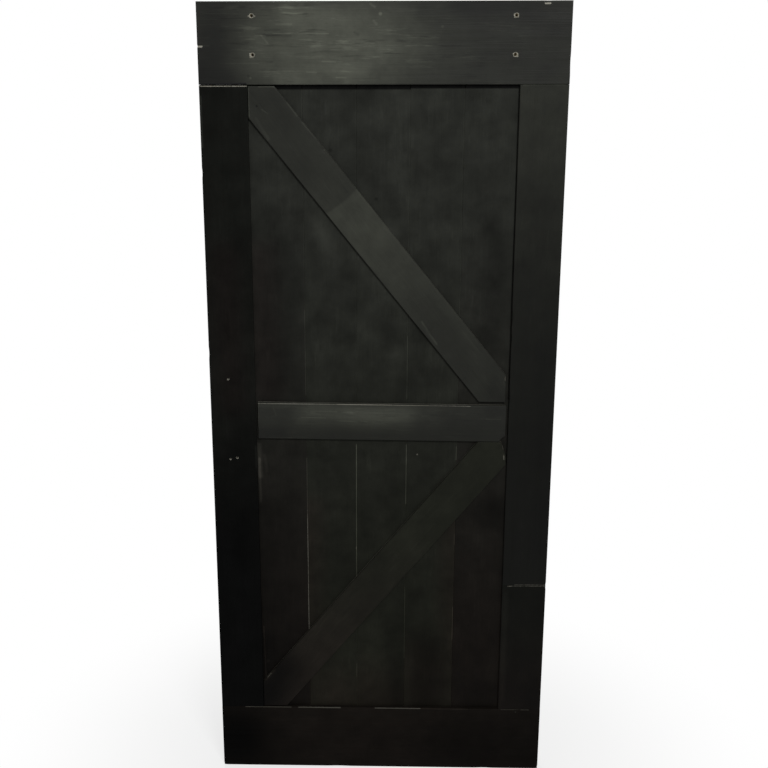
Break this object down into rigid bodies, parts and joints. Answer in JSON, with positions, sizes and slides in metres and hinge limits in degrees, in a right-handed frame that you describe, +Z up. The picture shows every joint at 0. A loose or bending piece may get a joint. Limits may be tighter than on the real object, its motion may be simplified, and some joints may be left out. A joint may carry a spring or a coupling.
{
  "type": "sliding door",
  "caption": "Framed sliding door leaf of black painted wood, with tongued and grooved boards, a mid rail and two corner to corner braces.",
  "frame": {"origin": "middle of the leaf's bottom edge: centre of its width and of its thickness, at the underside of the bottom rail", "axes": "+X across the leaf to the right as seen from the front, +Y from the front to the back, +Z up"},
  "size_m": [0.914, 0.035, 2.134],
  "materials": {
    "frame_paint": "matte to satin black paint over brushed pine",
    "board_paint": "matte black paint over pine",
    "brace_paint": "matte to satin black paint over brushed pine",
    "bare_wood": "bare wood",
    "screw_steel": "dull zinc plated"
  },
  "bodies": {
    "root": {"top_rail": "frame_paint", "bottom_rail": "frame_paint", "left_stile": "frame_paint", "right_stile_upper": "frame_paint", "right_stile_lower": "frame_paint", "board_1": "board_paint", "board_2": "board_paint", "board_3": "board_paint", "board_4": "board_paint", "board_5": "board_paint", "mid_rail": "brace_paint", "upper_brace": "brace_paint", "lower_brace": "brace_paint", "top_left_dowels": "bare_wood", "top_right_dowels": "bare_wood", "bottom_left_dowels": "bare_wood", "bottom_right_dowels": "bare_wood", "mid_rail_screws": "screw_steel", "upper_brace_screws": "screw_steel", "lower_brace_screws": "screw_steel"}
  },
  "joints": []
}
